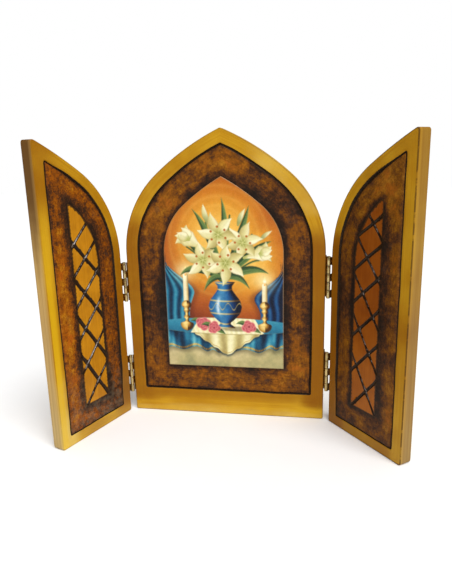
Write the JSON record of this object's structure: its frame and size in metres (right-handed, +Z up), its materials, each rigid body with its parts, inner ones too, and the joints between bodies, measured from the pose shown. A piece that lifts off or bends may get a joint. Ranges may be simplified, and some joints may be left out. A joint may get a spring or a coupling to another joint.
{
  "type": "triptych altarpiece",
  "caption": "Small wooden home triptych: pointed-arch centre panel with a mounted print, and two hinged half-arch wings that fold closed over it.",
  "frame": {"origin": "middle of the centre panel's underside", "axes": "+Z up, +Y towards the centre panel's back, +X towards the right-hand wing as seen from the front"},
  "size_m": [0.2449, 0.0817, 0.2181],
  "materials": {
    "panel_wood": "amber lacquered wood with dark antiqued bands, glossy",
    "print": "glossy varnished picture print on card",
    "hinge_brass": "plated brass, slightly dulled"
  },
  "bodies": {
    "centre": {"centre_panel": "panel_wood", "picture_print": "print", "hinge_left_lower_centre_leaf": "hinge_brass", "hinge_left_lower_pin": "hinge_brass", "hinge_left_upper_centre_leaf": "hinge_brass", "hinge_left_upper_pin": "hinge_brass", "hinge_right_lower_centre_leaf": "hinge_brass", "hinge_right_lower_pin": "hinge_brass", "hinge_right_upper_centre_leaf": "hinge_brass", "hinge_right_upper_pin": "hinge_brass"},
    "left_wing": {"left_wing_panel": "panel_wood", "hinge_left_lower_wing_leaf": "hinge_brass", "hinge_left_upper_wing_leaf": "hinge_brass"},
    "right_wing": {"right_wing_panel": "panel_wood", "hinge_right_lower_wing_leaf": "hinge_brass", "hinge_right_upper_wing_leaf": "hinge_brass"}
  },
  "joints": [
    {"name": "left_wing_hinge", "type": "hinge", "parent": "centre", "child": "left_wing", "pos_m": [-0.0771, -0.0059, 0], "axis": [0, 0, 1], "range_deg": [-75, 110]},
    {"name": "right_wing_hinge", "type": "hinge", "parent": "centre", "child": "right_wing", "pos_m": [0.0771, -0.0059, 0], "axis": [0, 0, -1], "range_deg": [-57, 128]}
  ]
}
